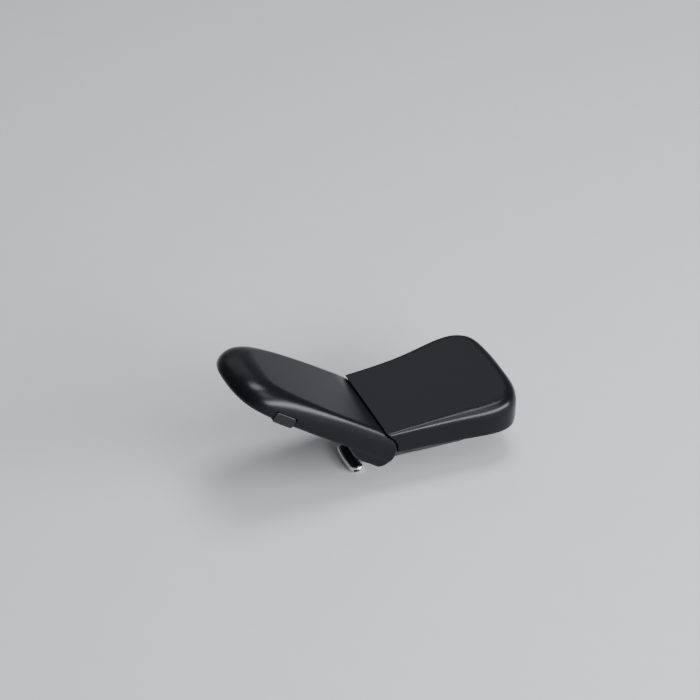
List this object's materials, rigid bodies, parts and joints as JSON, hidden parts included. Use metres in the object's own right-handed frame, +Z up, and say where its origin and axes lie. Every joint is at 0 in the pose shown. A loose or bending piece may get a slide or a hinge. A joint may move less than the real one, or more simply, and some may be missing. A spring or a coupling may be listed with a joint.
{
  "type": "chair armrest pad",
  "caption": "Two-section chair armrest pad: soft front section tilts up on a ratchet hinge, over a slide and swivel mount with a paddle lever.",
  "frame": {"origin": "centre of the four-bolt pattern on the underside of the base, where the chair's post bolts on", "axes": "+X towards the sitter (inner side of a right-hand armrest), -Y towards the nose of the pad, +Z up"},
  "size_m": [0.1208, 0.251, 0.1231],
  "materials": {
    "pad_skin": "satin soft-touch skin",
    "black_nylon": "fine moulded texture",
    "acetal": "natural, smooth",
    "bumper_rubber": "matt",
    "black_alloy": "black powder coat",
    "steel": "zinc plated",
    "button_plastic": "satin",
    "gloss_black": "gloss",
    "chrome": "bright chrome"
  },
  "bodies": {
    "base": {"base_block": "black_alloy", "lever_pin": "steel", "lever_spring": "steel", "pivot_screw": "steel", "pivot_washer": "steel", "wave_washer": "steel"},
    "carrier": {"carrier": "black_alloy", "swivel_bush": "acetal", "detent_ball": "steel"},
    "rear_section": {"rear_pad": "pad_skin", "rear_tray": "black_nylon", "slide_housing": "black_nylon", "glide_strip_inner": "acetal", "glide_strip_outer": "acetal", "detent_rack": "acetal", "stop_bumper_front": "bumper_rubber", "stop_bumper_rear": "bumper_rubber", "housing_screws": "steel", "hinge_bracket": "steel", "bracket_screws": "steel", "ratchet_plate": "steel", "hinge_pin": "steel", "pin_clips": "steel"},
    "front_section": {"front_pad": "pad_skin", "front_tray": "black_nylon", "front_cover": "black_nylon", "cover_screws": "steel", "hinge_bush_inner": "acetal", "hinge_bush_outer": "acetal", "rocker_screw": "steel", "button_spring": "steel"},
    "button": {"tilt_button": "button_plastic"},
    "rocker": {"release_rocker": "steel"},
    "lever": {"lever_arm": "gloss_black", "lever_trim": "chrome"},
    "plunger": {"release_plunger": "steel"}
  },
  "joints": [
    {"name": "pad_swivel", "type": "hinge", "parent": "base", "child": "carrier", "pos_m": [0, 0, 0.0155], "axis": [0, 0, 1], "range_deg": [-20, 20]},
    {"name": "pad_slide", "type": "slide", "parent": "carrier", "child": "rear_section", "axis": [0, -1, 0], "range_m": [0, 0.036]},
    {"name": "front_tilt", "type": "hinge", "parent": "rear_section", "child": "front_section", "pos_m": [0, -0.042, 0.0315], "axis": [-1, 0, 0], "range_deg": [-34, 0]},
    {"name": "button_press", "type": "slide", "parent": "front_section", "child": "button", "axis": [-1, 0, 0], "range_m": [0, 0.002], "stiffness_N_per_m": 300},
    {"name": "rocker_turn", "type": "hinge", "parent": "front_section", "child": "rocker", "pos_m": [0.014, -0.09092, 0.06269], "axis": [0, 0.5592, 0.829], "range_deg": [-3.2, 3.2]},
    {"name": "lever_pull", "type": "hinge", "parent": "base", "child": "lever", "pos_m": [0, -0.03, 0.0035], "axis": [-1, 0, 0], "range_deg": [0, 12], "stiffness_Nm_per_rad": 0.12},
    {"name": "plunger_push", "type": "slide", "parent": "base", "child": "plunger", "axis": [0, 0, -1], "range_m": [0, 0.0035]}
  ],
  "couplings": [
    {"joint": "rocker_turn", "follows": "button_press", "rad_per_m": -25.6},
    {"joint": "plunger_push", "follows": "lever_pull", "m_per_rad": 0.0152}
  ]
}
